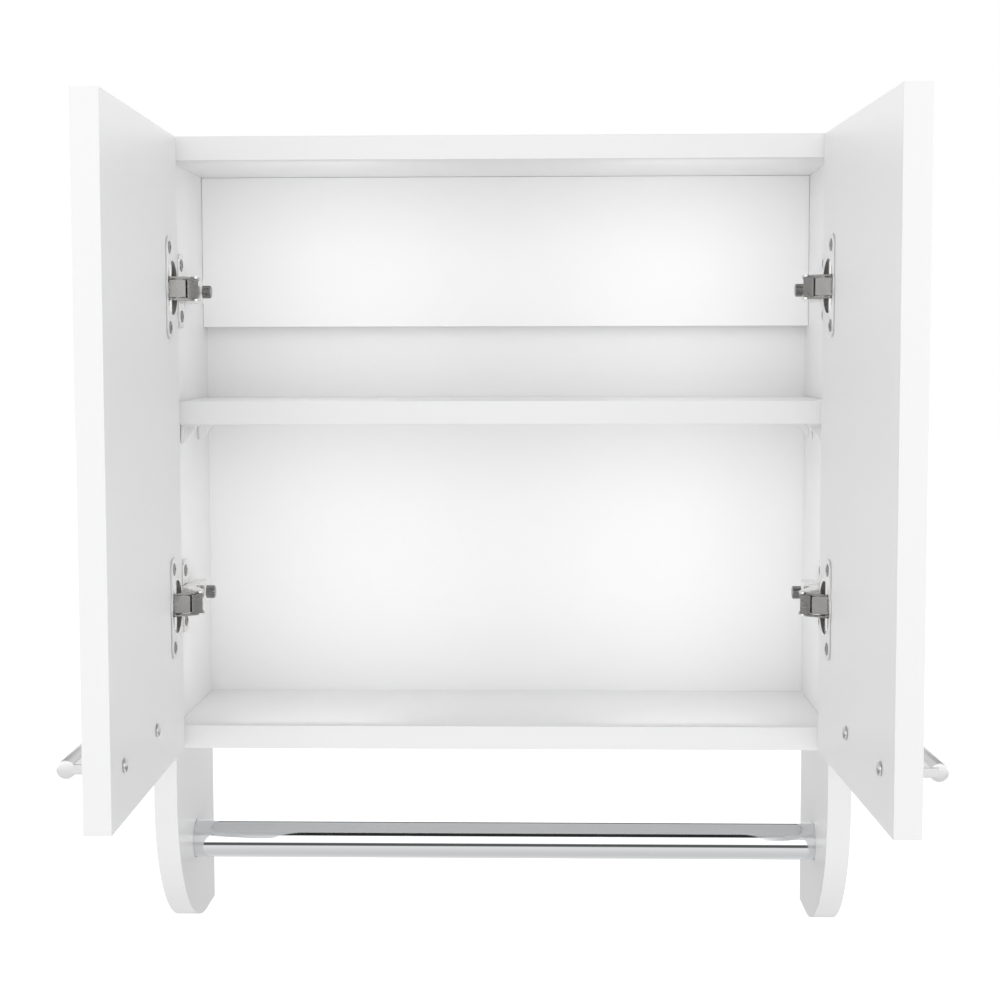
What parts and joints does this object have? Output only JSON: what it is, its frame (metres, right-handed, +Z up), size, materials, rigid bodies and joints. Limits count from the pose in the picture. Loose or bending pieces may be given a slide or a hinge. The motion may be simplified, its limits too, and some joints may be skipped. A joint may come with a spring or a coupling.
{
  "type": "hanging wall cabinet",
  "caption": "White hanging wall cabinet with overlay doors on concealed hinges, an inner shelf, bar handles, and side panels that run down as rounded legs holding a towel bar.",
  "frame": {"origin": "middle of the box's rear face, where it rests on the wall; the height's middle is that of the box without the legs", "axes": "+X to the right when facing the cabinet, +Y into the wall, +Z up"},
  "size_m": [0.4793, 0.3622, 0.526],
  "materials": {
    "white_laminate": "satin white laminate",
    "white_hardboard": "smooth white hardboard",
    "chrome_bar": "polished",
    "nickel_steel": "nickel-plated",
    "zinc_steel": "zinc-plated",
    "satin_silver": "satin",
    "white_plastic": "moulded"
  },
  "bodies": {
    "carcass": {"top_panel": "white_laminate", "bottom_panel": "white_laminate", "back_panel": "white_hardboard", "hanging_rail": "white_laminate", "shelf": "white_laminate", "towel_bar": "chrome_bar", "left_side_panel": "white_laminate", "left_hanger_plate": "zinc_steel", "left_front_shelf_support": "white_plastic", "left_rear_shelf_support": "white_plastic", "left_top_front_screw": "zinc_steel", "left_top_rear_screw": "zinc_steel", "left_bottom_front_screw": "zinc_steel", "left_bottom_rear_screw": "zinc_steel", "left_upper_hinge_plate": "nickel_steel", "left_lower_hinge_plate": "nickel_steel", "left_upper_hinge_arm": "nickel_steel", "left_lower_hinge_arm": "nickel_steel", "right_side_panel": "white_laminate", "right_hanger_plate": "zinc_steel", "right_front_shelf_support": "white_plastic", "right_rear_shelf_support": "white_plastic", "right_top_front_screw": "zinc_steel", "right_top_rear_screw": "zinc_steel", "right_bottom_front_screw": "zinc_steel", "right_bottom_rear_screw": "zinc_steel", "right_upper_hinge_plate": "nickel_steel", "right_lower_hinge_plate": "nickel_steel", "right_upper_hinge_arm": "nickel_steel", "right_lower_hinge_arm": "nickel_steel"},
    "left_door": {"left_door": "white_laminate", "left_handle": "satin_silver", "left_handle_outer_screw": "zinc_steel", "left_handle_inner_screw": "zinc_steel", "left_upper_hinge_cup": "nickel_steel", "left_lower_hinge_cup": "nickel_steel"},
    "left_outer_links": {"left_upper_outer_link": "nickel_steel", "left_lower_outer_link": "nickel_steel"},
    "left_inner_links": {"left_upper_inner_link": "nickel_steel", "left_lower_inner_link": "nickel_steel"},
    "right_door": {"right_door": "white_laminate", "right_handle": "satin_silver", "right_handle_outer_screw": "zinc_steel", "right_handle_inner_screw": "zinc_steel", "right_upper_hinge_cup": "nickel_steel", "right_lower_hinge_cup": "nickel_steel"},
    "right_outer_links": {"right_upper_outer_link": "nickel_steel", "right_lower_outer_link": "nickel_steel"},
    "right_inner_links": {"right_upper_inner_link": "nickel_steel", "right_lower_inner_link": "nickel_steel"}
  },
  "joints": [
    {"name": "left_outer_links_pivot", "type": "hinge", "parent": "carcass", "child": "left_outer_links", "pos_m": [-0.1916, -0.14264, 0], "axis": [0, 0, 1], "range_deg": [-58.11, 7.41]},
    {"name": "left_door_hinge", "type": "hinge", "parent": "left_outer_links", "child": "left_door", "pos_m": [-0.20532, -0.15412, 0], "axis": [0, 0, -1], "range_deg": [-146.8, 18.7]},
    {"name": "left_inner_links_pivot", "type": "hinge", "parent": "carcass", "child": "left_inner_links", "pos_m": [-0.19467, -0.13833, 0], "axis": [0, 0, 1], "range_deg": [-38.86, 4.96]},
    {"name": "right_outer_links_pivot", "type": "hinge", "parent": "carcass", "child": "right_outer_links", "pos_m": [0.1916, -0.14264, 0], "axis": [0, 0, -1], "range_deg": [-60.27, 5.25]},
    {"name": "right_door_hinge", "type": "hinge", "parent": "right_outer_links", "child": "right_door", "pos_m": [0.20488, -0.15463, 0], "axis": [0, 0, 1], "range_deg": [-152.26, 13.24]},
    {"name": "right_inner_links_pivot", "type": "hinge", "parent": "carcass", "child": "right_inner_links", "pos_m": [0.19467, -0.13833, 0], "axis": [0, 0, -1], "range_deg": [-40.31, 3.51]}
  ],
  "couplings": [
    {"joint": "left_outer_links_pivot", "follows": "left_door_hinge", "ratio": 0.39577},
    {"joint": "left_inner_links_pivot", "follows": "left_door_hinge", "ratio": 0.26465},
    {"joint": "right_outer_links_pivot", "follows": "right_door_hinge", "ratio": 0.39577},
    {"joint": "right_inner_links_pivot", "follows": "right_door_hinge", "ratio": 0.26465}
  ]
}
